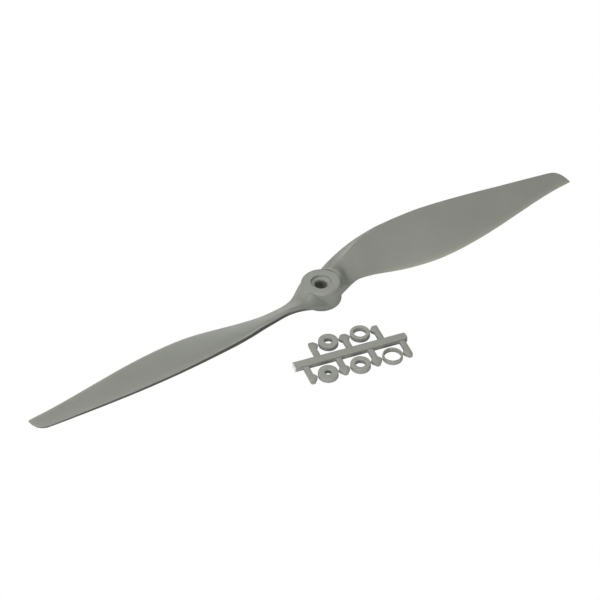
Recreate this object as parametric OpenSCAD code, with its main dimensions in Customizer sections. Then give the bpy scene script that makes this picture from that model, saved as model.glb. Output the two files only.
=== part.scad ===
// Two-blade propeller for an electric model aeroplane, lying front face up, with its tree of
// shaft adapter rings beside it. Millimetres. The origin is on the shaft bore's axis at the
// hub's rear face, +Z points to the front of the hub and +X runs along the blades.

/* [Propeller] */
// Diameter of the disc that the tips sweep: 13 in
prop_d = 330.2; // [320:0.1:340]
// Advance in one turn of the blade's lower face: 6.5 in
pitch = 165.1; // [150:0.1:180]
// How far the lower face is eased off that pitch at the tip, in degrees
washout = 0.8; // [0:0.1:1.5]
// Length of the rounded leading corner at each tip
tip_round = 9; // [7:0.5:12]

/* [Hub] */
// Outer diameter of the hub
hub_d = 20.9; // [20.5:0.1:22]
// Height of the hub
hub_h = 11.4; // [11:0.1:13]
// Rounding of the hub's front rim
rim_r = 1.4; // [0.4:0.1:2]
// Diameter of the shaft bore: 1/4 in
bore_d = 6.35; // [5:0.05:8]
// Diameter of the shallow recess in the front face
front_d = 10.5; // [10.2:0.1:12]
// Depth of the front recess
front_depth = 1.3; // [0.8:0.1:2]
// Width of the bevel where the bore meets the front recess
bore_bevel = 0.4; // [0.2:0.1:0.6]
// Diameter of the rear seat that takes an adapter ring
seat_d = 10.3; // [10.2:0.05:11]
// Depth of the rear seat
seat_depth = 2.8; // [2.7:0.1:3.5]

/* [Adapter rings] */
// Outer diameter of every ring
ring_d = 10.15; // [9.5:0.05:10.15]
// Height of every ring
ring_h = 2.65; // [2:0.05:2.65]
// Bores of the rings: the near row from left to right, then the far row
ring_bores = [3.175, 5, 8.4, 4, 6.35];
// Distance from one ring to the next in a row
ring_pitch = 17; // [16.5:0.1:18]
// Distance from the middle of the bar to the middle of a row
row_out = 10.3; // [10.2:0.1:12]
// Diameter of the small gates that hold a ring
gate_d = 0.9; // [0.6:0.1:1.2]

/* [Runner] */
// Width of the bar at its foot
bar_w = 4.7; // [4:0.1:5]
// Width of the bar at its top
bar_top_w = 4.4; // [3.8:0.1:5]
// Height of the bar
bar_h = 2.6; // [2.4:0.1:3]
// Width of each stem
stem_w = 3.0; // [2.4:0.1:3.4]
// Half width of a stem's head at a shoulder that carries a gate
head_half = 2.7; // [2:0.1:2.9]
// Half width of a stem's head at its tip
tip_half = 0.9; // [0.6:0.1:1.4]
// Height of each stem
stem_h = 2.1; // [1.9:0.1:2.5]

/* [Where the tree lies] */
// Where the middle of the bar's marked ring lies along the blades
tree_x = -17.3; // [-30:0.1:10]
// How far that point lies from the bore's axis, across the blades
tree_y = -37.6; // [-60:0.1:-34]
// How far the bar is turned from the blades
tree_turn = -12.2; // [-20:0.1:5]

/* [Hidden] */
$fn = 96;
tip_r = prop_d / 2;
hub_r = hub_d / 2;

// The stations below are given for a tip radius of 165.1, as [radius, value].
nominal_r = 165.1;
// Sideways place of the centre of the leading edge's nose
NOSE_Y = [[0, 7.5], [4, 8.8], [10, 10.5], [16, 11.6], [22, 12.3], [28, 13.1], [40, 15], [56, 16.8],
    [72, 17.4], [88, 17.1], [106, 16], [130, 13.6], [nominal_r, 9.5]];
// Height of the nose's round, which is the thickness of the leading edge
NOSE_H = [[0, 5], [10, 4.6], [16, 3.6], [22, 3.2], [28, 3], [57, 2.8], [80, 2.3], [103, 1.8],
    [125, 1.4], [148, 1], [nominal_r, 0.6]];
// Sideways place of the trailing edge
TRAIL_Y = [[0, -8.6], [6, -6.6], [10, -4.8], [16, -2.6], [22, -1.2], [28, -1.5], [34, -2.3],
    [46, -5.3], [58, -8.1], [68, -9.8], [79, -10.4], [91, -9.9], [106, -8.3], [124, -5.4],
    [142, -2.4], [154, -0.8], [nominal_r, 0]];
// Height of the trailing edge's lower corner
TRAIL_Z = [[0, 2], [10, 2.5], [16, 2.9], [22, 3.2], [28, 2.7], [40, 1.3], [50, 0.8], [58, 0.9],
    [76, 1.9], [100, 3], [124, 3.8], [142, 4.2], [nominal_r, 4.3]];
// Thickness of the trailing edge
TRAIL_H = [[0, 8], [10, 5.6], [16, 2], [22, 1.2], [28, 0.9], [40, 0.7], [nominal_r, 0.5]];
// Camber of the upper face above a straight line from nose to trailing edge
CAMBER = [[0, 2.6], [10, 2.3], [14, 1.1], [18, 0.3], [22, 0.1], [30, 0.3], [45, 0.7], [60, 1],
    [80, 0.9], [125, 0.6], [nominal_r, 0.2]];
// Belly of the lower face, which thickens the root
BELLY = [[0, 1], [16, 1.6], [24, 1.4], [40, 0.5], [60, 0], [nominal_r, 0]];
// Slope of the lower face near the hub, in degrees, up to where the pitch sets it
root_end = 45;
ROOT_SLOPE = [[0, -5], [5, 2.5], [10, 11], [16, 22], [22, 30], [28, 33.6], [36, 33.3], [root_end, 30.3]];

// Stations where the blade's sections stand, closer together at the root and at the tip
SECTIONS = concat([0, 4, 8, 11, 14, 17, 20, 23, 26, 30, 34, 39, 44, 50], [for (r = [57:9:147]) r],
    [153, 157, 160, 162.2, 163.8, 164.7, nominal_r]);
face_steps = 9;
nose_steps = 7;

// Slope of a table's curve at its station i: the mean of the slopes on both sides, by distance
function slope(t, i) =
    let (n = len(t) - 1)
    i == 0 ? (t[1][1] - t[0][1]) / (t[1][0] - t[0][0]) :
    i == n ? (t[n][1] - t[n - 1][1]) / (t[n][0] - t[n - 1][0]) :
    let (a = t[i][0] - t[i - 1][0], b = t[i + 1][0] - t[i][0])
    ((t[i][1] - t[i - 1][1]) / a * b + (t[i + 1][1] - t[i][1]) / b * a) / (a + b);

// Station of a table that starts the stretch where r lies
function stretch(t, r, i = 0) = (i >= len(t) - 2 || r < t[i + 1][0]) ? i : stretch(t, r, i + 1);

// Smooth curve through a table's points, read at r
function smooth(t, r) =
    let (i = stretch(t, r), h = t[i + 1][0] - t[i][0], u = (r - t[i][0]) / h, v = 1 - u)
    t[i][1] * (1 + 2 * u) * v * v + slope(t, i) * h * u * v * v
    + t[i + 1][1] * u * u * (3 - 2 * u) - slope(t, i + 1) * h * u * u * v;

// Angle of the lower face at radius r
function blade_slope(r) =
    r < root_end ? smooth(ROOT_SLOPE, r)
    : atan(pitch / (2 * PI * r)) - washout * (r - root_end) / (nominal_r - root_end);

// Share of the chord that the rounded tip leaves at radius r
function tip_share(r) =
    let (u = max(0, (r - nominal_r + tip_round) / tip_round))
    sqrt(max(0.0004, 1 - pow(u, 4)));

// One closed section of the blade, seen along +X, from the trailing edge over the top, round the
// nose and back along the bottom. Along the chord s runs from the nose's centre to the trailing
// edge; t stands square to the lower face.
function section(r) =
    let (share = tip_share(r), thin = 0.3 + 0.7 * share)
    let (a = blade_slope(r), p = smooth(NOSE_H, r) * thin / 2, e = smooth(TRAIL_H, r) * thin)
    let (camber = smooth(CAMBER, r) * thin, belly = smooth(BELLY, r))
    let (y0 = smooth(TRAIL_Y, r), z0 = smooth(TRAIL_Z, r))
    let (y1 = y0 + (smooth(NOSE_Y, r) + p - y0) * share - p * share)
    let (chord = (y1 - y0 + p * sin(a)) / cos(a))
    let (top = [for (i = [0:face_steps]) let (u = pow(1 - i / face_steps, 1.3))
        [chord * u, 2 * p * (1 - u) + e * u + camber * sin(180 * pow(u, 0.7))]])
    let (nose = [for (i = [1:nose_steps - 1]) let (q = 90 - 180 * i / nose_steps)
        [-p * cos(q) * min(1, 3 * share), p + p * sin(q)]])
    let (bottom = [for (i = [0:face_steps]) let (u = pow(i / face_steps, 1.3))
        [chord * u, -belly * sin(180 * u)]])
    [for (q = concat(top, nose, bottom)) let (s = chord - q[0])
        [r * tip_r / nominal_r, y0 + s * cos(a) - q[1] * sin(a), z0 + s * sin(a) + q[1] * cos(a)]];

// Blade along +X: its sections joined into one closed skin
module blade() {
    rows = [for (r = SECTIONS) section(r)];
    n = len(rows[0]);
    m = len(rows);
    sides = [for (i = [0:m - 2], j = [0:n - 1]) let (k = (j + 1) % n)
        [i * n + j, (i + 1) * n + j, (i + 1) * n + k, i * n + k]];
    halves = [for (f = sides, h = [0, 1]) h == 0 ? [f[2], f[1], f[0]] : [f[3], f[2], f[0]]];
    root_cap = [for (j = [n - 1:-1:0]) j];
    tip_cap = [for (j = [0:n - 1]) (m - 1) * n + j];
    polyhedron([for (row = rows) each row], concat(halves, [root_cap], [tip_cap]));
}

// Hub, bored for the shaft, with a recess in front and a ring seat behind
module propeller() color("#8f9089") difference() {
    union() {
        hub();
        blade();
        rotate([0, 0, 180]) blade();
    }
    translate([0, 0, -1]) cylinder(d = bore_d, h = hub_h + 2);
    translate([0, 0, -1]) cylinder(d = seat_d, h = seat_depth + 1);
    translate([0, 0, hub_h - front_depth]) cylinder(d = front_d, h = 2 * hub_h);
    translate([0, 0, hub_h - front_depth - bore_bevel])
        cylinder(d1 = bore_d, d2 = bore_d + 4 * bore_bevel, h = 2 * bore_bevel);
}

// Round hub body, with its front rim rounded and its rear rim broken
module hub() rotate_extrude() polygon(concat(
    [[0, 0], [hub_r - 0.5, 0], [hub_r, 0.5]],
    [for (q = [0:15:90]) [hub_r - rim_r + rim_r * cos(q), hub_h - rim_r + rim_r * sin(q)]],
    [[0, hub_h]]));

// Places things in the tree's own frame: U along the bar, V across it
module on_tree() translate([tree_x, tree_y, 0]) rotate([0, 0, tree_turn]) children();

bar_v = -3.1;
bar_from = -22.6;
bar_to = 37.5;
// Places of the near row's first ring and of the far row's along the bar
near_u = -8.3;
far_u = -0.2;
RINGS = [for (i = [0:2]) [near_u + i * ring_pitch, -1], for (i = [0:1]) [far_u + i * ring_pitch, 1]];
// Stems stand half a pitch before and after the rings; the end ones have a shoulder on one side
NEAR_STEMS = [for (i = [0:3]) [near_u + (i - 0.5) * ring_pitch, i == 3 ? 0 : 1, i == 0 ? 0 : 1]];
FAR_STEMS = [for (i = [0:2]) [far_u + (i - 0.5) * ring_pitch, i == 0 ? 0 : 1, i == 2 ? 0 : 1]];
// How far the stems reach from the middle of the bar: to the head, and to its tip
stem_reach = 8.2;
tip_at = 13.4;
shoulder = 0.7;
gap = 0.03;

module bar() translate([bar_from, bar_v, 0]) rotate([90, 0, 90])
    linear_extrude(bar_to - bar_from)
        polygon([[-bar_w / 2, 0], [bar_w / 2, 0], [bar_top_w / 2, bar_h], [-bar_top_w / 2, bar_h]]);

// Half of a stem's outline, from the bar to the tip; wide says whether it carries a gate
function stem_side(wide) =
    let (half = stem_w / 2)
    wide == 1 ? [[half, 0], [half, stem_reach], [head_half, row_out - shoulder],
        [head_half, row_out + shoulder], [tip_half, tip_at]]
    : [[half, 0], [half, row_out + shoulder], [tip_half, tip_at]];

// One stem, drawn from the bar outwards along +V, with its head at the rings' middle
module stem(left, right) linear_extrude(stem_h) polygon(concat(
    stem_side(right), [for (i = [len(stem_side(left)) - 1:-1:0]) let (p = stem_side(left)[i]) [-p[0], p[1]]]));

module runner() color("#8f9089") on_tree() {
    bar();
    for (s = NEAR_STEMS) translate([s[0], bar_v, 0]) rotate([0, 0, 180]) stem(s[1], s[2]);
    for (s = FAR_STEMS) translate([s[0], bar_v, 0]) stem(s[1], s[2]);
}

// Ring number i of the tree, with the half of each gate that it keeps
module ring(i) color("#95968f") on_tree() translate([RINGS[i][0], bar_v + RINGS[i][1] * row_out, 0])
    difference() {
        union() {
            cylinder(d = ring_d, h = ring_h);
            translate([-ring_pitch / 2 + head_half + gap, 0, ring_h / 2])
                rotate([0, 90, 0]) cylinder(d = gate_d, h = ring_pitch - 2 * head_half - 2 * gap);
        }
        translate([0, 0, -1]) cylinder(d = ring_bores[i], h = ring_h + 2);
    }

module ring_bore_3() ring(0);
module ring_bore_5() ring(1);
module ring_bore_8() ring(2);
module ring_bore_4() ring(3);
module ring_bore_6() ring(4);

propeller();
runner();
ring_bore_3();
ring_bore_5();
ring_bore_8();
ring_bore_4();
ring_bore_6();
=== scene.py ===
"""Looks of a two-blade electric propeller and of the tree of shaft adapter rings that comes with it.

Sizes are in millimetres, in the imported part's own frame: the origin is on the bore's axis at the
hub's rear face, +Z points to the front of the hub and +X runs along the blades.
"""

import logging
import math
from dataclasses import dataclass
from enum import Enum
from functools import lru_cache

import bmesh
import bpy
from mathutils import Matrix, Vector


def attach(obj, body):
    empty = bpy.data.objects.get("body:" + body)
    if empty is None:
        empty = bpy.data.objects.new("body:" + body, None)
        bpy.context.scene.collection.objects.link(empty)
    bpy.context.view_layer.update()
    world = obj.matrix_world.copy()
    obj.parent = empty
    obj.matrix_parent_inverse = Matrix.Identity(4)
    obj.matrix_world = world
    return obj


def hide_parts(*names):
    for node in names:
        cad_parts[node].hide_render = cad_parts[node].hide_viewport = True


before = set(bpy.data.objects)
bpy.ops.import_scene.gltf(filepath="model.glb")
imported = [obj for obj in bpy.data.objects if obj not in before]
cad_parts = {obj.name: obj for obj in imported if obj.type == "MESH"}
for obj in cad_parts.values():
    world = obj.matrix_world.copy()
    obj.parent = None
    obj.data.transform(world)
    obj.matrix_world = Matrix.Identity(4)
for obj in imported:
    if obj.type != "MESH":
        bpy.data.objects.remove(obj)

MM = 0.001
LOG = logging.getLogger("propeller")

Point = tuple[float, float, float]
Profile = tuple[tuple[float, float], ...]


class Body(Enum):
    """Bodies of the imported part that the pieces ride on."""

    PROPELLER = "propeller"
    TREE = "ring_tree"


class Slot(Enum):
    """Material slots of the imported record."""

    PROPELLER = "propeller_nylon"
    RUNNER = "runner_nylon"
    RING = "ring_nylon"


# ---------------------------------------------------------------------------------------------
# Mesh helpers
# ---------------------------------------------------------------------------------------------


def mix(a: float, b: float, share: float) -> float:
    """Return the value that lies a share of the way from a to b."""
    return a + (b - a) * share


def ease(share: float) -> float:
    """Return a share eased in and out between 0 and 1."""
    held = min(1.0, max(0.0, share))
    return held * held * (3 - 2 * held)


def select_only(piece: bpy.types.Object) -> None:
    """Make a piece the only selected object, and the active one."""
    bpy.ops.object.select_all(action="DESELECT")
    piece.select_set(True)
    bpy.context.view_layer.objects.active = piece


def active_piece(name: str) -> bpy.types.Object:
    """Name the object that an operator has just added, and return it."""
    piece = bpy.context.view_layer.objects.active
    piece.name = name
    piece.data.name = name
    return piece


def edit_mesh(piece: bpy.types.Object) -> bmesh.types.BMesh:
    """Return the edit-mode mesh of a piece, with its tables ready.

    Args:
        piece: an object in edit mode.

    Returns:
        The mesh as edit mode holds it.
    """
    mesh = bmesh.from_edit_mesh(piece.data)
    mesh.verts.ensure_lookup_table()
    mesh.faces.ensure_lookup_table()
    return mesh


def apply_modifier(piece: bpy.types.Object, kind: str, **settings: object) -> None:
    """Add a modifier to a piece, set it up and apply it.

    Args:
        piece: the object to change.
        kind: the modifier's type, as Blender names it.
        **settings: the modifier's properties.
    """
    select_only(piece)
    modifier = piece.modifiers.new(kind.lower(), kind)
    for name, value in settings.items():
        setattr(modifier, name, value)
    bpy.ops.object.modifier_apply(modifier=modifier.name)


def smooth_shading(piece: bpy.types.Object, angle: float = 40) -> None:
    """Shade a piece smooth, apart from edges that turn by more than an angle in degrees."""
    select_only(piece)
    bpy.ops.object.shade_smooth_by_angle(angle=math.radians(angle))


def join(pieces: list[bpy.types.Object], name: str) -> bpy.types.Object:
    """Unite overlapping closed pieces into one skin.

    Args:
        pieces: the objects, the first of which keeps the others' volume.
        name: the name of the result.

    Returns:
        The united object.
    """
    whole = pieces[0]
    for other in pieces[1:]:
        apply_modifier(whole, "BOOLEAN", operation="UNION", solver="EXACT", object=other)
        bpy.data.objects.remove(other)
    whole.name = name
    whole.data.name = name
    return whole


def place_mesh(piece: bpy.types.Object, placing: Matrix) -> None:
    """Move a piece's own vertices, so that its object stays at the origin."""
    piece.data.transform(placing)
    piece.data.update()


# ---------------------------------------------------------------------------------------------
# Finishes
# ---------------------------------------------------------------------------------------------


@dataclass(frozen=True)
class Nylon:
    """Glass-filled nylon as it comes out of the mould: dull grey, faintly mottled and grained, with
    painted light at thin trailing edges and painted shade under the leading edges.
    """

    name: str
    colour: tuple[float, float, float] = (0.262, 0.270, 0.241)
    # Painted light showing through the thin trailing edges
    painted_glow_tint: tuple[float, float, float] = (0.45, 0.43, 0.35)
    # Painted shade for the underside of the leading edge
    painted_shade_tint: tuple[float, float, float] = (0.062, 0.061, 0.055)
    torn: tuple[float, float, float] = (0.86, 0.85, 0.81)
    roughness: float = 0.40
    mottle: float = 0.045
    grain_mm: float = 0.35
    grain_depth: float = 0.10

    def build(self) -> bpy.types.Material:
        """Build the node material.

        Returns:
            The material: colour from mottling, painted light and painted shade from the edge
                attributes, stress whitening where torn, and grain as bump.
        """
        material = bpy.data.materials.new(self.name)
        material.use_nodes = True
        tree = material.node_tree
        shader = tree.nodes["Principled BSDF"]
        shader.inputs["Roughness"].default_value = self.roughness
        shader.inputs["IOR"].default_value = 1.53
        place = tree.nodes.new("ShaderNodeTexCoord").outputs["Object"]
        colour = self._mottled(tree, place)
        for attribute, tint in (
            # Painted light showing through thin trailing edges
            ("thin_edge_glow", self.painted_glow_tint),
            # Painted shade under the leading edge
            ("nose_painted_shade", self.painted_shade_tint),
            ("torn", self.torn),
        ):
            colour = self._tinted(tree, colour, attribute, tint)
        tree.links.new(colour, shader.inputs["Base Color"])
        tree.links.new(self._grain(tree, place), shader.inputs["Normal"])
        return material

    def _noise(self, tree, place, feature_mm: float, detail: float):
        """Add a noise texture with features of about a size in mm, and return its value."""
        texture = tree.nodes.new("ShaderNodeTexNoise")
        texture.inputs["Scale"].default_value = 1 / (feature_mm * MM)
        texture.inputs["Detail"].default_value = detail
        tree.links.new(place, texture.inputs["Vector"])
        return texture.outputs["Fac"]

    def _mottled(self, tree, place):
        """Return the base colour with broad clouds and fine flecks of glass in it."""
        clouds = self._noise(tree, place, 14, 3)
        flecks = self._noise(tree, place, self.grain_mm, 2)
        both = tree.nodes.new("ShaderNodeMath")
        both.operation = "MULTIPLY_ADD"
        both.inputs[1].default_value = 0.45
        tree.links.new(flecks, both.inputs[0])
        tree.links.new(clouds, both.inputs[2])
        ramp = tree.nodes.new("ShaderNodeValToRGB")
        low, high = ramp.color_ramp.elements
        low.position, high.position = 0.45, 1.0
        low.color = (*(c * (1 - self.mottle) for c in self.colour), 1)
        high.color = (*(c * (1 + self.mottle) for c in self.colour), 1)
        tree.links.new(both.outputs[0], ramp.inputs[0])
        return ramp.outputs["Color"]

    def _tinted(self, tree, colour, attribute: str, tint: tuple[float, float, float]):
        """Return the colour turned towards a tint by a point attribute of the piece."""
        share = tree.nodes.new("ShaderNodeAttribute")
        share.attribute_name = attribute
        blend = tree.nodes.new("ShaderNodeMix")
        blend.data_type = "RGBA"
        blend.inputs["B"].default_value = (*tint, 1)
        tree.links.new(share.outputs["Fac"], blend.inputs["Factor"])
        tree.links.new(colour, blend.inputs["A"])
        return blend.outputs["Result"]

    def _grain(self, tree, place):
        """Return the normal of the moulded surface, with its fine grain."""
        bump = tree.nodes.new("ShaderNodeBump")
        bump.inputs["Strength"].default_value = self.grain_depth
        bump.inputs["Distance"].default_value = 0.1 * MM
        tree.links.new(self._noise(tree, place, self.grain_mm, 4), bump.inputs["Height"])
        return bump.outputs["Normal"]


def dress(piece: bpy.types.Object, finish: bpy.types.Material) -> None:
    """Give a piece one finish all over."""
    piece.data.materials.clear()
    piece.data.materials.append(finish)


# ---------------------------------------------------------------------------------------------
# Propeller
# ---------------------------------------------------------------------------------------------


@dataclass(frozen=True)
class Stations:
    """A smooth curve through points that are given as (radius, value)."""

    points: Profile

    def _slope(self, i: int) -> float:
        """Return the curve's slope at its point number i."""
        t = self.points
        last = len(t) - 1
        if i in (0, last):
            j = min(i, last - 1)
            return (t[j + 1][1] - t[j][1]) / (t[j + 1][0] - t[j][0])
        before = t[i][0] - t[i - 1][0]
        after = t[i + 1][0] - t[i][0]
        rise = (t[i][1] - t[i - 1][1]) / before * after + (t[i + 1][1] - t[i][1]) / after * before
        return rise / (before + after)

    def at(self, r: float) -> float:
        """Return the curve's value at a radius."""
        t = self.points
        i = max((j for j in range(len(t) - 1) if t[j][0] <= r), default=0)
        h = t[i + 1][0] - t[i][0]
        u = min(1.0, max(0.0, (r - t[i][0]) / h))
        v = 1 - u
        start = t[i][1] * (1 + 2 * u) * v * v + self._slope(i) * h * u * v * v
        end = t[i + 1][1] * u * u * (3 - 2 * u) - self._slope(i + 1) * h * u * u * v
        return start + end


@dataclass(frozen=True)
class Section:
    """Measures of one blade section: s runs along the chord from the nose, t stands on it."""

    slope: float
    nose: float
    edge: float
    camber: float
    belly: float
    chord: float
    shoulder: float
    facet: float
    share: float
    edge_y: float
    edge_z: float


@dataclass(frozen=True)
class Blade:
    """One blade along +X, as a grid of skin points with columns along the chord and rows up."""

    tip_r: float = 165.1
    pitch: float = 165.1
    washout: float = 0.8
    tip_round: float = 9
    root_end: float = 45
    columns: int = 30
    rows: int = 8
    nose_y: Stations = Stations((
        (0, 7.5), (4, 8.8), (10, 10.5), (16, 11.6), (22, 12.3), (28, 13.1), (40, 15), (56, 16.8),
        (72, 17.4), (88, 17.1), (106, 16), (130, 13.6), (165.1, 9.5),
    ))
    nose_h: Stations = Stations((
        (0, 5), (10, 4.6), (16, 3.6), (22, 3.2), (28, 3), (57, 2.8), (80, 2.3), (103, 1.8),
        (125, 1.4), (148, 1), (165.1, 0.6),
    ))
    trail_y: Stations = Stations((
        (0, -8.6), (6, -6.6), (10, -4.8), (16, -2.6), (22, -1.2), (28, -1.5), (34, -2.3),
        (46, -5.3), (58, -8.1), (68, -9.8), (79, -10.4), (91, -9.9), (106, -8.3), (124, -5.4),
        (142, -2.4), (154, -0.8), (165.1, 0),
    ))
    trail_z: Stations = Stations((
        (0, 2), (10, 2.5), (16, 2.9), (22, 3.2), (28, 2.7), (40, 1.3), (50, 0.8), (58, 0.9),
        (76, 1.9), (100, 3), (124, 3.8), (142, 4.2), (165.1, 4.3),
    ))
    trail_h: Stations = Stations((
        (0, 8), (10, 5.6), (16, 2), (22, 1.2), (28, 0.9), (40, 0.7), (165.1, 0.5),
    ))
    camber: Stations = Stations((
        (0, 2.6), (10, 2.3), (14, 1.1), (18, 0.3), (22, 0.1), (30, 0.3), (45, 0.7), (60, 1),
        (80, 0.9), (125, 0.6), (165.1, 0.2),
    ))
    belly: Stations = Stations(((0, 1), (16, 1.6), (24, 1.4), (40, 0.5), (60, 0), (165.1, 0)))
    root_slope: Stations = Stations((
        (0, -5), (5, 2.5), (10, 11), (16, 22), (22, 30), (28, 33.6), (36, 33.3), (45, 30.3),
    ))
    # How far inboard the nose's upper shoulder starts, and how flat the face below it is
    shoulder: Stations = Stations(((0, 2.4), (12, 2.2), (22, 1.5), (32, 0.3), (40, 0), (165.1, 0)))
    facet: Stations = Stations(((0, 1.25), (20, 1.3), (34, 1.9), (50, 2), (165.1, 2)))
    # Highest angle round the nose, in degrees, that the painted shade band below the parting line
    # reaches
    painted_shade_reach: Stations = Stations((
        (0, -40), (16, -30), (24, -8), (35, 10), (57, 32), (85, 40), (100, 52), (120, 70),
        (140, 80), (165.1, 85),
    ))

    def slope(self, r: float) -> float:
        """Return the lower face's angle at a radius, in radians."""
        if r < self.root_end:
            return math.radians(self.root_slope.at(r))
        eased = self.washout * (r - self.root_end) / (self.tip_r - self.root_end)
        return math.atan(self.pitch / (2 * math.pi * r)) - math.radians(eased)

    @lru_cache(maxsize=None)
    def section(self, r: float) -> Section:
        """Work out one section.

        Args:
            r: the section's radius.

        Returns:
            The section's measures.
        """
        past = max(0.0, (r - self.tip_r + self.tip_round) / self.tip_round)
        share = math.sqrt(max(0.0004, 1 - past**4))
        thin = 0.3 + 0.7 * share
        slope = self.slope(r)
        nose = self.nose_h.at(r) * thin / 2
        edge_y = self.trail_y.at(r)
        lead_y = edge_y + (self.nose_y.at(r) + nose - edge_y) * share - nose * share
        return Section(
            slope=slope,
            nose=nose,
            edge=self.trail_h.at(r) * thin,
            camber=self.camber.at(r) * thin,
            belly=self.belly.at(r),
            chord=(lead_y - edge_y + nose * math.sin(slope)) / math.cos(slope),
            shoulder=self.shoulder.at(r),
            facet=self.facet.at(r),
            share=share,
            edge_y=edge_y,
            edge_z=self.trail_z.at(r),
        )

    def _top(self, m: Section, s: float) -> float:
        """Return the upper face's height at a place along the chord."""
        u = max(0.0, s / m.chord)
        return 2 * m.nose * (1 - u) + m.edge * u + m.camber * math.sin(math.pi * u**0.7)

    def nose_angle(self, row: int) -> float:
        """Return where a row lies round the nose: -90 degrees is below it and 90 above."""
        lower = 3
        if row <= lower:
            return -90 + 90 * row / lower
        return 90 * (row - lower) / (self.rows - lower)

    def _on_chord(self, m: Section, column: int, row: int) -> tuple[float, float]:
        """Return a grid point as (s, t) in its section."""
        u = (1 - column / self.columns) ** 1.3
        if column == self.columns:
            q = math.radians(self.nose_angle(row))
            reach = m.nose * min(1, 3 * m.share)
            if q < 0:
                return -reach * math.cos(q), m.nose + m.nose * math.sin(q)
            power = 2 / m.facet
            rise = self._top(m, m.shoulder) - m.nose
            s = m.shoulder - (m.shoulder + reach) * max(0.0, math.cos(q)) ** power
            return s, m.nose + rise * math.sin(q) ** power
        up = row / self.rows
        s_top = m.shoulder + (m.chord - m.shoulder) * u
        s_low = m.chord * u
        t = mix(-m.belly * math.sin(math.pi * u), self._top(m, s_top), up)
        round_edge = 0.3 * m.edge * math.sin(math.pi * up) if column == 0 else 0
        return mix(s_low, s_top, up) + round_edge, t

    def point(self, r: float, column: int, row: int) -> Point:
        """Return one point of the blade's skin.

        Args:
            r: the radius that the point lies at.
            column: 0 at the trailing edge, up to the nose.
            row: 0 on the lower face, up to the upper face.

        Returns:
            The point, in millimetres.
        """
        m = self.section(r)
        s, t = self._on_chord(m, column, row)
        back = m.chord - s
        y = m.edge_y + back * math.cos(m.slope) - t * math.sin(m.slope)
        z = m.edge_z + back * math.sin(m.slope) + t * math.cos(m.slope)
        return r, y, z

    def meets(self, column: int, row: int, wall_r: float) -> float:
        """Return the radius at which a line of the skin comes out of a round wall."""
        low, high = 0.1, wall_r
        for _ in range(40):
            middle = (low + high) / 2
            x, y, _z = self.point(middle, column, row)
            if math.hypot(x, y) < wall_r:
                low = middle
            else:
                high = middle
        return high


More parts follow.
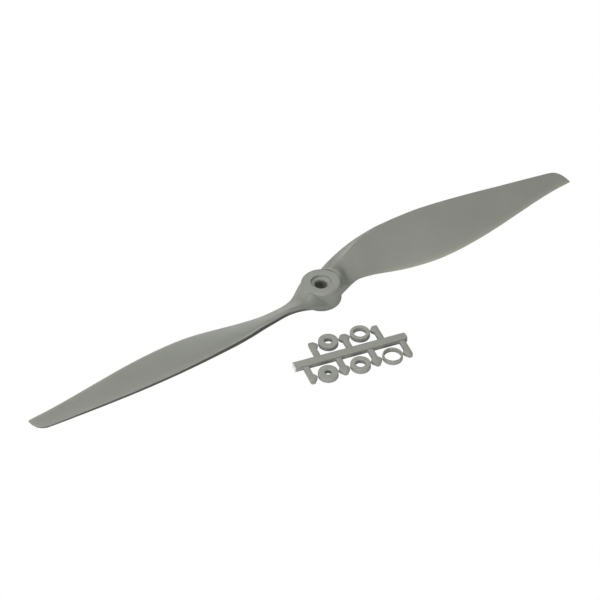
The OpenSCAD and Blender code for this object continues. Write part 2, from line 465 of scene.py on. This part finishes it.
@dataclass
class Propeller:
    """Hub and two blades, moulded as one."""

    blade: Blade = Blade()
    hub_r: float = 10.45
    hub_h: float = 11.4
    rim_r: float = 1.4
    bore_r: float = 3.175
    front_r: float = 5.25
    front_depth: float = 1.3
    seat_r: float = 5.15
    seat_depth: float = 2.8
    fillet: float = 4.0
    long_fillet: float = 6.0
    gap_columns: int = 16
    stations: tuple[float, ...] = (
        *(16.5 + 1.5 * i for i in range(8)), *(29 + 2.5 * i for i in range(8)),
        *(50 + 4 * i for i in range(25)), 149.5, 152.5, 155, 157.2, 159, 160.5, 161.7, 162.7, 163.5,
        164.1, 164.55, 164.85, 165.05,
    )

    def build(self) -> bpy.types.Object:
        """Model the propeller.

        Returns:
            The finished mesh object.
        """
        columns = self._wall_columns()
        rings = self._rings(columns)
        select_none()
        bpy.ops.mesh.primitive_circle_add(vertices=len(columns), radius=self.bore_r * MM)
        piece = active_piece("propeller_skin")
        bpy.ops.object.mode_set(mode="EDIT")
        self._raise_hub(piece, rings)
        for side in (0, 1):
            self._pull_blade(piece, side)
        bpy.ops.mesh.select_all(action="SELECT")
        bpy.ops.mesh.normals_make_consistent(inside=False)
        bpy.ops.object.mode_set(mode="OBJECT")
        apply_modifier(piece, "SUBSURF", levels=1, render_levels=1)
        smooth_shading(piece, 50)
        return piece

    def _wall_columns(self) -> list[list[Point]]:
        """Work out the hub wall's grid, from one blade's root round to the other's and back.

        Returns:
            For each column its points, from the lowest row to the highest.
        """
        b = self.blade
        patch = []
        for c in range(b.columns + 1):
            low, high = self._contact(c, 0), self._contact(c, b.rows)
            inner = range(1, b.rows)
            if c in (0, b.columns):
                patch.append([low, *(self._contact(c, row) for row in inner), high])
            else:
                patch.append([low, *(self._between(low, high, row / b.rows) for row in inner), high])
        half = list(patch)
        steps = self.gap_columns + 1
        for i in range(1, steps):
            column = []
            for row in range(b.rows + 1):
                start, end = patch[-1][row], patch[0][row]
                turned = (-end[0], -end[1], end[2])
                column.append(self._between(start, turned, i / steps))
            half.append(column)
        return half + [[(-x, -y, z) for x, y, z in column] for column in half]

    def _contact(self, column: int, row: int) -> Point:
        """Return where a line of the blade's skin meets the hub's wall."""
        return self._filleted(self.blade.meets(column, row, self.hub_r), column, row)

    def _between(self, a: Point, b: Point, share: float) -> Point:
        """Return a point of the hub's wall a share of the way round from a to b."""
        start = math.atan2(a[1], a[0])
        turn = (math.atan2(b[1], b[0]) - start + math.pi) % (2 * math.pi) - math.pi
        angle = start + turn * share
        height = mix(a[2], b[2], ease(share))
        return self.hub_r * math.cos(angle), self.hub_r * math.sin(angle), height

    def _flush(self, column: int) -> float:
        """Return how far the blade's upper face runs straight into the hub's front there."""
        across = column / self.blade.columns
        return ease((across - 0.04) / 0.3) * (1 - ease((across - 0.55) / 0.22))

    def _filleted(self, r: float, column: int, row: int) -> Point:
        """Return a point of the blade's skin, raised into the fillet round the hub."""
        x, y, z = self.blade.point(r, column, row)
        flush = self._flush(column)
        beyond = max(0.0, math.hypot(x, y) - self.hub_r)
        tight = max(0.0, 1 - beyond / self.fillet) ** 2
        long = 1 - ease(beyond / self.long_fillet)
        upper = ease(row / self.blade.rows)
        lower = max(0.0, (3 - row) / 3)
        rim_z = self.hub_h - self.rim_r
        raised = mix(0.6 * max(0.0, rim_z - z) * tight, (self.hub_h - 0.3 - z) * long, flush)
        if column == self.blade.columns:
            raised = 0
        return x, y, z + upper * raised - 0.3 * tight * lower * (z - 0.6)

    def _rings(self, columns: list[list[Point]]) -> list[list[Point]]:
        """List the hub's rings in order, from the rear of the bore round to its front.

        Args:
            columns: the hub wall's grid.

        Returns:
            The rings, each with one point for each column.
        """
        floor_z = self.hub_h - self.front_depth
        lower: Profile = (
            (self.bore_r, floor_z - 3.2), (self.bore_r, 4.6), (self.bore_r, 3.2),
            (self.bore_r + 0.1, self.seat_depth + 0.06), (self.bore_r + 0.3, self.seat_depth),
            (self.seat_r - 0.5, self.seat_depth), (self.seat_r - 0.1, self.seat_depth - 0.02),
            (self.seat_r, self.seat_depth - 0.15), (self.seat_r, 1.4), (self.seat_r, 0.35),
            (self.seat_r + 0.12, 0.1), (self.seat_r + 0.4, 0), (7.0, 0), (8.6, 0),
            (self.hub_r - 0.75, 0), (self.hub_r - 0.4, 0.07), (self.hub_r - 0.1, 0.3),
            (self.hub_r, 0.75), (self.hub_r, 1.5),
        )
        rim = tuple(
            (
                self.hub_r - self.rim_r + self.rim_r * math.cos(math.radians(q)),
                self.hub_h - self.rim_r + self.rim_r * math.sin(math.radians(q)),
            )
            for q in (8, 30, 52, 72, 90)
        )
        upper: Profile = rim + (
            (8.2, self.hub_h), (7.0, self.hub_h), (self.front_r + 0.55, self.hub_h),
            (self.front_r + 0.22, self.hub_h - 0.02), (self.front_r + 0.05, self.hub_h - 0.12),
            (self.front_r, self.hub_h - 0.35), (self.front_r, floor_z + 0.3),
            (self.front_r - 0.06, floor_z + 0.06), (self.front_r - 0.35, floor_z),
            (self.bore_r + 0.9, floor_z), (self.bore_r + 0.62, floor_z - 0.04),
            (self.bore_r + 0.08, floor_z - 0.6), (self.bore_r, floor_z - 0.85),
            (self.bore_r, floor_z - 1.6),
        )
        rings = [self._ring(columns, 0, *place) for place in lower]
        rings += [[column[row] for column in columns] for row in range(self.blade.rows + 1)]
        rings += [self._levelled(self._ring(columns, self.blade.rows, *place)) for place in upper]
        return rings

    def _levelled(self, ring: list[Point]) -> list[Point]:
        """Return a ring of the hub's rim with its drop taken out where a blade runs flush."""
        last = self.blade.columns
        half = last + 1 + self.gap_columns
        level = []
        for i, (x, y, z) in enumerate(ring):
            column = i % half
            flush = self._flush(column) if column <= last else 0
            if half - column < 4:
                flush = self._flush(0) * (1 - (half - column) / 4)
            out = (math.hypot(x, y) - self.hub_r + self.rim_r) / self.rim_r
            flat = self.hub_h - 0.27 * max(0.0, out) ** 2
            level.append((x, y, mix(z, flat, flush) if out > 0 else z))
        return level

    def _ring(self, columns: list[list[Point]], row: int, r: float, z: float) -> list[Point]:
        """Return a level ring, with its points below or above those of a row of the wall."""
        ring = []
        for i, column in enumerate(columns):
            even = 2 * math.pi * i / len(columns) + math.atan2(columns[0][0][1], columns[0][0][0])
            x, y, _z = column[row]
            off = (math.atan2(y, x) - even + math.pi) % (2 * math.pi) - math.pi
            angle = even + off * ease((r - self.bore_r) / (self.hub_r - self.bore_r))
            ring.append((r * math.cos(angle), r * math.sin(angle), z))
        return ring

    def _raise_hub(self, piece: bpy.types.Object, rings: list[list[Point]]) -> None:
        """Extrude the hub's skin ring by ring, and close it through the bore.

        Args:
            piece: the object in edit mode, still its first circle.
            rings: the places of the rings' points.
        """
        mesh = edit_mesh(piece)
        column_of = mesh.verts.layers.int.new("column")
        row_of = mesh.verts.layers.int.new("row")
        # Painted light showing through thin trailing edges
        mesh.verts.layers.float.new("thin_edge_glow")
        # Painted shade under the leading edge
        mesh.verts.layers.float.new("nose_painted_shade")
        column_of = mesh.verts.layers.int["column"]
        row_of = mesh.verts.layers.int["row"]
        start = len(self._lower_rings(rings))
        for i, vert in enumerate(mesh.verts):
            vert[column_of] = i
            vert.co = Vector(rings[0][i]) * MM
            vert[row_of] = -1
        bmesh.update_edit_mesh(piece.data)
        bpy.ops.mesh.select_all(action="SELECT")
        for number, ring in enumerate(rings[1:], start=1):
            bpy.ops.mesh.extrude_edges_move()
            mesh = edit_mesh(piece)
            column_of = mesh.verts.layers.int["column"]
            row_of = mesh.verts.layers.int["row"]
            for vert in (v for v in mesh.verts if v.select):
                vert.co = Vector(ring[vert[column_of]]) * MM
                vert[row_of] = number - start
            bmesh.update_edit_mesh(piece.data)
        bpy.ops.mesh.select_all(action="DESELECT")
        bpy.ops.mesh.select_mode(type="EDGE")
        bpy.ops.mesh.select_non_manifold()
        bpy.ops.mesh.bridge_edge_loops()

    def _lower_rings(self, rings: list[list[Point]]) -> list[list[Point]]:
        """Return the rings that come before the wall's first row."""
        return rings[: len(rings) - 19 - self.blade.rows - 1]

    def _pull_blade(self, piece: bpy.types.Object, side: int) -> None:
        """Extrude a blade out of the hub's wall, station by station.

        Args:
            piece: the object in edit mode.
            side: 0 for the blade along +X and 1 for the one along -X.
        """
        b = self.blade
        first = side * (b.columns + 1 + self.gap_columns)
        turned = -1 if side else 1
        contacts = {
            (c, row): b.meets(c, row, self.hub_r)
            for c in range(b.columns + 1)
            for row in range(b.rows + 1)
        }
        bpy.ops.mesh.select_mode(type="FACE")
        bpy.ops.mesh.select_all(action="DESELECT")
        mesh = edit_mesh(piece)
        column_of = mesh.verts.layers.int["column"]
        row_of = mesh.verts.layers.int["row"]
        for face in mesh.faces:
            face.select = all(
                first <= v[column_of] <= first + b.columns and 0 <= v[row_of] <= b.rows
                for v in face.verts
            )
        bmesh.update_edit_mesh(piece.data)
        shares = (0.1, 0.22, 0.36, 0.52, 0.7, 0.86)
        outer = self.stations[0]
        for step in (*shares, *self.stations):
            bpy.ops.mesh.extrude_region_move()
            mesh = edit_mesh(piece)
            column_of = mesh.verts.layers.int["column"]
            row_of = mesh.verts.layers.int["row"]
            glow_of = mesh.verts.layers.float["thin_edge_glow"]
            shade_of = mesh.verts.layers.float["nose_painted_shade"]
            for vert in (v for v in mesh.verts if v.select):
                c, row = vert[column_of] - first, vert[row_of]
                r = mix(contacts[c, row], outer, step) if step < 1 else step
                x, y, z = self._filleted(r, c, row)
                vert.co = Vector((turned * x, turned * y, z)) * MM
                # Painted light showing through the thin trailing edge
                vert[glow_of] = self._edge_glow(r, c)
                # Painted shade under the leading edge
                vert[shade_of] = self._painted_shade(r, c, row)
            bmesh.update_edit_mesh(piece.data)

    def _edge_glow(self, r: float, column: int) -> float:
        """Return how far a point's colour turns pale from painted light showing through the thin
        trailing edge.
        """
        m = self.blade.section(r)
        away = m.chord * (1 - column / self.blade.columns) ** 1.3
        from_edge = m.chord - away
        return 0.55 * ease((r - 18) / 30) * math.exp(-from_edge / 1.1)

    def _painted_shade(self, r: float, column: int, row: int) -> float:
        """Return how far a point lies in the painted shade band along the underside of the leading
        edge.
        """
        b = self.blade
        if column < b.columns:
            # The lower face just behind the nose takes the painted shade in full
            return 1.0 if row == 0 and column >= b.columns - 2 else 0.0
        # Round the nose, painted shade below the given angle, fading in away from the hub
        return ease((b.painted_shade_reach.at(r) - b.nose_angle(row)) / 14 + 0.5) * ease((r - 9) / 12)


def select_none() -> None:
    """Deselect every object."""
    bpy.ops.object.select_all(action="DESELECT")


# ---------------------------------------------------------------------------------------------
# Ring tree
# ---------------------------------------------------------------------------------------------


@dataclass(frozen=True)
class TreeFrame:
    """Where the tree lies: U runs along its bar and V across it."""

    x: float = -17.3
    y: float = -37.6
    turn: float = -12.2
    bar_v: float = -3.1

    def matrix(self, u: float = 0, v: float = 0) -> Matrix:
        """Return the placing of a piece drawn at the tree's point (u, v)."""
        turn = Matrix.Rotation(math.radians(self.turn), 4, "Z")
        return Matrix.Translation(Vector((self.x, self.y, 0)) * MM) @ turn @ Matrix.Translation(
            Vector((u, v, 0)) * MM
        )


@dataclass
class AdapterRing:
    """One ring of the tree, with the half of each gate that stays on it."""

    node: str
    bore: float
    u: float
    side: int
    tree: TreeFrame = TreeFrame()
    outer_r: float = 5.075
    height: float = 2.65
    row_out: float = 10.3
    gate_reach: float = 5.77
    gate_r: float = 0.45
    bevel: float = 0.18
    columns: int = 64

    def build(self) -> bpy.types.Object:
        """Model the ring and its gates.

        Returns:
            The finished mesh object.
        """
        r, h, e = self.bore / 2, self.height, self.bevel
        inner = min(e, (self.outer_r - r) / 4)
        profile: Profile = (
            (r, h / 2), (r, h - 1.6 * inner), (r + 0.3 * inner, h - 0.3 * inner),
            (r + 1.6 * inner, h), (self.outer_r - 1.6 * e, h), (self.outer_r - 0.3 * e, h - 0.3 * e),
            (self.outer_r, h - 1.6 * e), (self.outer_r + 0.04, h / 2), (self.outer_r + 0.07, 1.6 * e),
            (self.outer_r + 0.07 - 0.3 * e, 0.3 * e), (self.outer_r - 1.6 * e, 0),
            (r + 1.6 * inner, 0), (r + 0.3 * inner, 0.3 * inner), (r, 1.6 * inner),
        )
        select_none()
        bpy.ops.mesh.primitive_circle_add(vertices=self.columns, radius=r * MM)
        piece = active_piece(self.node + "_skin")
        bpy.ops.object.mode_set(mode="EDIT")
        mesh = edit_mesh(piece)
        for vert in mesh.verts:
            vert.co.z = profile[0][1] * MM
        bmesh.update_edit_mesh(piece.data)
        bpy.ops.mesh.select_all(action="SELECT")
        for place_r, z in profile[1:]:
            bpy.ops.mesh.extrude_edges_move()
            for vert in (v for v in edit_mesh(piece).verts if v.select):
                flat = Vector((vert.co.x, vert.co.y, 0)).normalized() * place_r
                vert.co = Vector((flat.x, flat.y, z)) * MM
            bmesh.update_edit_mesh(piece.data)
        bpy.ops.mesh.select_all(action="DESELECT")
        bpy.ops.mesh.select_mode(type="EDGE")
        bpy.ops.mesh.select_non_manifold()
        bpy.ops.mesh.bridge_edge_loops()
        bpy.ops.mesh.select_all(action="SELECT")
        bpy.ops.mesh.normals_make_consistent(inside=False)
        bpy.ops.object.mode_set(mode="OBJECT")
        apply_modifier(piece, "SUBSURF", levels=1, render_levels=1)
        piece = join([piece, self._gate(1), self._gate(-1)], self.node + "_skin")
        smooth_shading(piece, 45)
        place_mesh(piece, self.tree.matrix(self.u, self.tree.bar_v + self.side * self.row_out))
        return piece

    def _gate(self, way: int) -> bpy.types.Object:
        """Model the stub of a gate on one side of the ring, thinnest where it was cut."""
        start = self.outer_r - min(0.5, (self.outer_r - self.bore / 2) / 2)
        length = self.gate_reach - start
        select_none()
        bpy.ops.mesh.primitive_cone_add(
            vertices=20,
            radius1=self.gate_r * 1.15 * MM,
            radius2=self.gate_r * 0.8 * MM,
            depth=length * MM,
            location=(way * (start + length / 2) * MM, 0, self.height / 2 * MM),
            rotation=(0, way * math.pi / 2, 0),
        )
        gate = active_piece("gate")
        bpy.ops.object.transform_apply(location=True, rotation=True, scale=True)
        return gate


class Gated(Enum):
    """Sides of a stem, along the bar, that a ring's gate meets."""

    BEFORE = "before"
    AFTER = "after"
    BOTH = "both"


@dataclass
class Runner:
    """The bar of the tree with its stems, whose pointed heads hold the rings."""

    tree: TreeFrame = TreeFrame()
    bar_from: float = -22.6
    bar_to: float = 37.5
    bar_w: float = 4.7
    bar_top_w: float = 4.4
    height: float = 2.6
    stem_w: float = 3.0
    stem_reach: float = 8.2
    head_half: float = 2.7
    head_from: float = 9.6
    head_to: float = 11.0
    tip_at: float = 13.4
    tip_half: float = 0.9
    stem_height: float = 2.1
    # Each stem's place along the bar, and on which sides a ring's gate meets it
    near_stems: tuple[tuple[float, Gated], ...] = (
        (-16.8, Gated.AFTER), (0.2, Gated.BOTH), (17.2, Gated.BOTH), (34.2, Gated.BEFORE),
    )
    far_stems: tuple[tuple[float, Gated], ...] = (
        (-8.7, Gated.AFTER), (8.3, Gated.BOTH), (25.3, Gated.BEFORE),
    )
    bevel: float = 0.28
    torn_depth: float = 0.45

    def build(self) -> bpy.types.Object:
        """Model the runner.

        Returns:
            The finished mesh object.
        """
        parts = [self._bar()]
        for u, gated in self.near_stems:
            parts.append(self._stem(u, -1, gated))
        for u, gated in self.far_stems:
            parts.append(self._stem(u, 1, gated))
        runner = join(parts, "runner_skin")
        self._mark_torn_end(runner)
        smooth_shading(runner, 35)
        place_mesh(runner, self.tree.matrix(0, self.tree.bar_v))
        return runner

    def _bar(self) -> bpy.types.Object:
        """Model the bar, narrower at its top, with one end torn and the other rounded."""
        select_none()
        bpy.ops.mesh.primitive_grid_add(x_subdivisions=5, y_subdivisions=8, size=MM)
        bar = active_piece("bar")
        bpy.ops.object.mode_set(mode="EDIT")
        bpy.ops.mesh.select_all(action="SELECT")
        for vert in edit_mesh(bar).verts:
            up, across = vert.co.x / MM + 0.5, vert.co.y / MM
            width = mix(self.bar_w, self.bar_top_w, up)
            inner = (1 - (2 * up - 1) ** 6) * (1 - (2 * across) ** 6)
            rough = 0.22 * math.sin(9 * up + 14 * across) + 0.18 * math.sin(23 * across - 7 * up)
            lip = 0.35 * ease(2.2 * up - 1.1) * ease(0.9 + 1.6 * across)
            u = self.bar_from + self.torn_depth * (rough * inner - lip)
            vert.co = Vector((u, width * across, self.height * up)) * MM
        bmesh.update_edit_mesh(bar.data)
        end = self.bar_to
        for u, narrow in (
            (self.bar_from + 0.25, 0), (self.bar_from + 0.9, 0), (end - 1.1, 0), (end - 0.5, 0.22),
            (end - 0.12, 0.62), (end, 1.0),
        ):
            bpy.ops.mesh.extrude_region_move()
            for vert in (v for v in edit_mesh(bar).verts if v.select):
                width = mix(self.bar_w, self.bar_top_w, vert.co.z / MM / self.height) / 2
                across = max(-1.0, min(1.0, vert.co.y / MM / width)) if narrow == 0 else None
                if narrow:
                    vert.co.y = math.copysign(
                        min(abs(vert.co.y), (width - narrow) * MM), vert.co.y
                    )
                elif across is not None:
                    vert.co.y = across * width * MM
                vert.co.x = u * MM
            bmesh.update_edit_mesh(bar.data)
        bpy.ops.mesh.select_all(action="SELECT")
        bpy.ops.mesh.normals_make_consistent(inside=False)
        bpy.ops.object.mode_set(mode="OBJECT")
        apply_modifier(bar, "BEVEL", width=self.bevel * MM, segments=3, limit_method="ANGLE",
                       angle_limit=math.radians(60))
        return bar

    def _stem(self, u: float, side: int, gated: Gated) -> bpy.types.Object:
        """Model a stem and its head, drawn from the bar outwards and bevelled.

        Args:
            u: where the stem stands along the bar.
            side: 1 for the far side and -1 for the near side.
            gated: the sides where the head has a shoulder for a gate.

        Returns:
            The stem's object.
        """
        half = self.stem_w / 2
        outline = (
            (self.stem_reach, half, half, self.stem_height),
            (self.head_from, self.head_half, half, self.stem_height),
            (self.head_to, self.head_half, half, self.stem_height),
            (self.tip_at - 0.9, mix(self.head_half, self.tip_half, 0.75), half - 0.1, self.stem_height),
            (self.tip_at, self.tip_half, self.tip_half, self.stem_height * 0.62),
        )
        select_none()
        bpy.ops.mesh.primitive_cube_add(
            size=MM,
            location=(0, 0.5 * MM, self.stem_height / 2 * MM),
            scale=(self.stem_w, 1, self.stem_height),
        )
        stem = active_piece("stem")
        bpy.ops.object.transform_apply(location=True, rotation=True, scale=True)
        bpy.ops.object.mode_set(mode="EDIT")
        bpy.ops.mesh.select_mode(type="FACE")
        bpy.ops.mesh.select_all(action="DESELECT")
        mesh = edit_mesh(stem)
        for face in mesh.faces:
            face.select = face.normal.y > 0.9
        bmesh.update_edit_mesh(stem.data)
        for out, wide, plain, high in outline:
            bpy.ops.mesh.extrude_region_move()
            for vert in (v for v in edit_mesh(stem).verts if v.select):
                way = Gated.AFTER if vert.co.x * side > 0 else Gated.BEFORE
                reach = wide if gated in (way, Gated.BOTH) else plain
                vert.co.x = math.copysign(reach, vert.co.x) * MM
                vert.co.y = out * MM
                if vert.co.z > self.stem_height / 2 * MM:
                    vert.co.z = high * MM
            bmesh.update_edit_mesh(stem.data)
        bpy.ops.object.mode_set(mode="OBJECT")
        apply_modifier(stem, "BEVEL", width=self.bevel * MM, segments=3, limit_method="ANGLE")
        turn = Matrix.Rotation(math.pi if side < 0 else 0, 4, "Z")
        place_mesh(stem, Matrix.Translation(Vector((u, 0, 0)) * MM) @ turn)
        return stem

    def _mark_torn_end(self, runner: bpy.types.Object) -> None:
        """Set the share of stress whitening at each point of the torn end."""
        share = runner.data.attributes.new("torn", "FLOAT", "POINT")
        for i, vert in enumerate(runner.data.vertices):
            from_end = vert.co.x / MM - self.bar_from
            share.data[i].value = ease(1.1 - from_end / self.torn_depth)


# ---------------------------------------------------------------------------------------------
# Studio
# ---------------------------------------------------------------------------------------------


@dataclass(frozen=True)
class Softbox:
    """A square studio light that points at the part."""

    name: str
    azimuth: float
    elevation: float
    watts: float
    side: float = 600
    distance: float = 1100

    def build(self) -> bpy.types.Object:
        """Hang the light. Azimuth 0 stands on the -Y side and 90 on +X."""
        light = bpy.data.lights.new(self.name, "AREA")
        light.shape = "SQUARE"
        light.size = self.side * MM
        light.energy = self.watts
        lamp = bpy.data.objects.new(self.name, light)
        bpy.context.scene.collection.objects.link(lamp)
        a, e = math.radians(self.azimuth), math.radians(self.elevation)
        back = Vector((math.sin(a) * math.cos(e), -math.cos(a) * math.cos(e), math.sin(e)))
        lamp.location = back * self.distance * MM
        lamp.rotation_mode = "QUATERNION"
        lamp.rotation_quaternion = back.to_track_quat("Z", "Y")
        return lamp


@dataclass(frozen=True)
class Studio:
    """White sweep, soft lights and camera."""

    aim: Point = (-10.8, 3.3, 1.6)
    azimuth: float = -32.43
    elevation: float = 42.18
    roll: float = -0.70
    distance: float = 803.8
    lens: float = 94.3
    sensor: float = 36
    floor_half: float = 3000
    sky: float = 0.03
    boxes: tuple[Softbox, ...] = (
        Softbox("top_box", 0, 88, 5.0),
        Softbox("low_box", -32, 12, 7.4),
        Softbox("left_box", -122, 45, 6.6),
        Softbox("back_box", 148, 45, 1.5),
    )

    def build(self) -> None:
        """Set up the floor, the lights, the sky and the camera."""
        self._floor()
        self._sky()
        for box in self.boxes:
            box.build()
        self._camera()
        bpy.context.scene.view_settings.view_transform = "Standard"

    def _floor(self) -> None:
        """Lay the white floor just below the part: the camera sees it evenly white."""
        select_none()
        bpy.ops.mesh.primitive_plane_add(size=2 * self.floor_half * MM, location=(0, 0, -0.05 * MM))
        floor = active_piece("sweep")
        material = bpy.data.materials.new("white_sweep")
        material.use_nodes = True
        tree = material.node_tree
        shader = tree.nodes["Principled BSDF"]
        shader.inputs["Base Color"].default_value = (0.8, 0.8, 0.8, 1)
        shader.inputs["Roughness"].default_value = 0.9
        glow = tree.nodes.new("ShaderNodeEmission")
        glow.inputs["Strength"].default_value = 1.0
        path = tree.nodes.new("ShaderNodeLightPath")
        seen = tree.nodes.new("ShaderNodeMixShader")
        tree.links.new(path.outputs["Is Camera Ray"], seen.inputs["Fac"])
        tree.links.new(shader.outputs["BSDF"], seen.inputs[1])
        tree.links.new(glow.outputs["Emission"], seen.inputs[2])
        tree.links.new(seen.outputs["Shader"], tree.nodes["Material Output"].inputs["Surface"])
        dress(floor, material)

    def _sky(self) -> None:
        """Fill the room with even white light."""
        world = bpy.data.worlds.new("room")
        world.use_nodes = True
        sky = world.node_tree.nodes["Background"]
        sky.inputs["Color"].default_value = (1, 1, 1, 1)
        sky.inputs["Strength"].default_value = self.sky
        bpy.context.scene.world = world

    def _camera(self) -> None:
        """Set up the camera on its distance from the point it is aimed at."""
        camera = bpy.data.cameras.new("camera")
        camera.lens = self.lens
        camera.sensor_width = self.sensor
        camera.clip_start, camera.clip_end = 0.01, 20
        stand = bpy.data.objects.new("camera", camera)
        bpy.context.scene.collection.objects.link(stand)
        a, e = math.radians(self.azimuth), math.radians(self.elevation)
        back = Vector((math.sin(a) * math.cos(e), -math.cos(a) * math.cos(e), math.sin(e)))
        stand.location = (Vector(self.aim) + back * self.distance) * MM
        level = back.to_track_quat("Z", "Y").to_matrix()
        turn = Matrix.Rotation(math.radians(self.roll), 3, "Z")
        stand.rotation_mode = "QUATERNION"
        stand.rotation_quaternion = (level @ turn).to_quaternion()
        bpy.context.scene.camera = stand


# ---------------------------------------------------------------------------------------------


def add_piece(piece: bpy.types.Object, body: str, node: str) -> None:
    """Put a finished piece on its body in place of a node, and report it.

    Args:
        piece: the finished mesh object.
        body: the body that it rides on.
        node: the node that it stands for.
    """
    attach(piece, body)
    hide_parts(node)
    LOG.info("%s: %d faces, rides on %s", piece.name, len(piece.data.polygons), body)


def main() -> None:
    """Build the studio and every piece."""
    logging.basicConfig(level=logging.INFO, format="%(message)s")
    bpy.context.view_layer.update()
    Studio().build()

    propeller = Propeller().build()
    dress(propeller, Nylon("propeller_nylon").build())
    add_piece(propeller, Body.PROPELLER.value, "propeller")

    runner = Runner().build()
    dress(runner, Nylon("runner_nylon").build())
    add_piece(runner, Body.TREE.value, "runner")

    ring_finish = Nylon("ring_nylon", colour=(0.28, 0.288, 0.26)).build()
    rings = (
        AdapterRing("ring_bore_3", 3.175, -8.3, -1),
        AdapterRing("ring_bore_5", 5, 8.7, -1),
        AdapterRing("ring_bore_8", 8.4, 25.7, -1),
        AdapterRing("ring_bore_4", 4, -0.2, 1),
        AdapterRing("ring_bore_6", 6.35, 16.8, 1),
    )
    for ring in rings:
        piece = ring.build()
        dress(piece, ring_finish)
        add_piece(piece, ring.node, ring.node)


if __name__ == "__main__":
    main()
